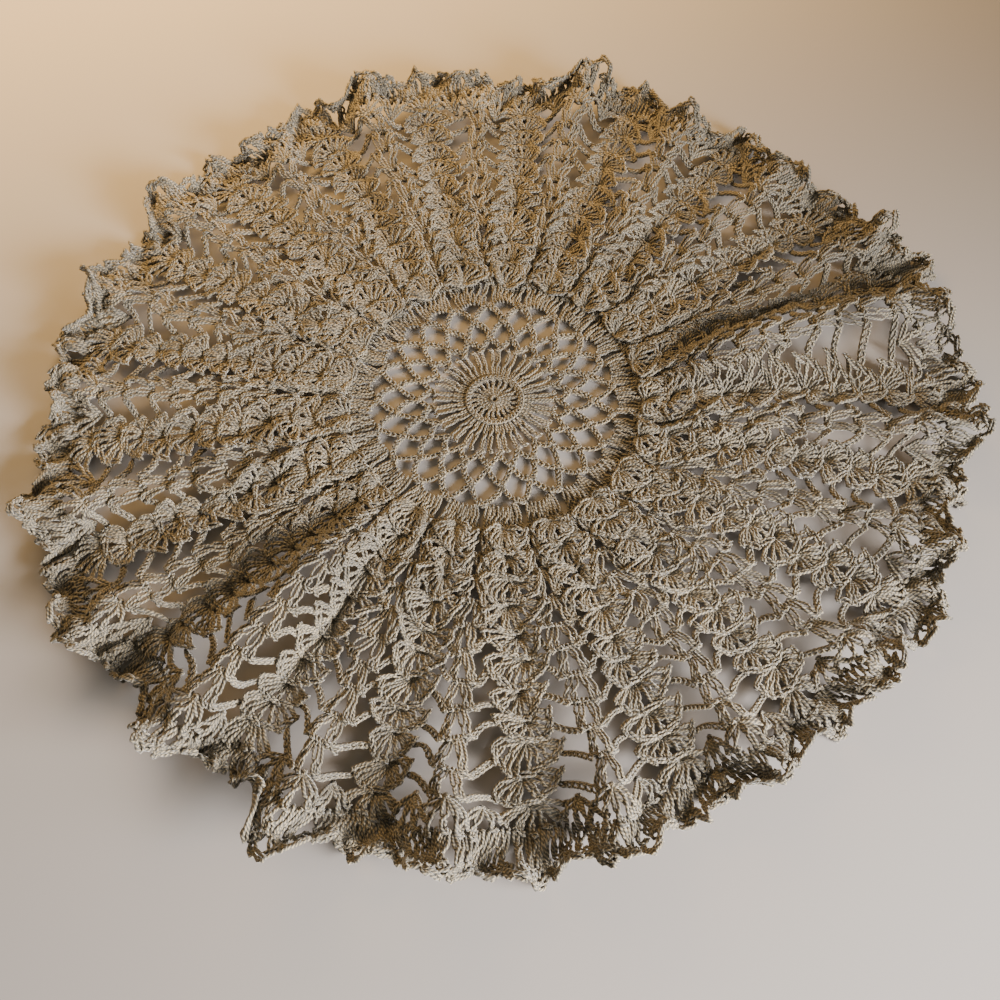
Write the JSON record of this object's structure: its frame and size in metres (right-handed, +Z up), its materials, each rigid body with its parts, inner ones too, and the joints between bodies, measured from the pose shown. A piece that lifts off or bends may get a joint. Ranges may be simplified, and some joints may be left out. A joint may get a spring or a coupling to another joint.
{
  "type": "lace doily",
  "caption": "Round crocheted cotton doily that lies on a table: net centre, radiating shell ribs with open gaps, and a ruffled picot edging.",
  "frame": {"origin": "middle of the flat centre's underside, on the surface that the doily rests on", "axes": "+Z up, out of the table; +X to the right and +Y away as the doily is laid; the pattern repeats round +Z"},
  "size_m": [0.3313, 0.3224, 0.0182],
  "materials": {
    "cotton_yarn": "ecru two-ply cotton crochet yarn, matt with a faint sheen along the strands"
  },
  "bodies": {
    "root": {"doily": "cotton_yarn"}
  },
  "joints": []
}
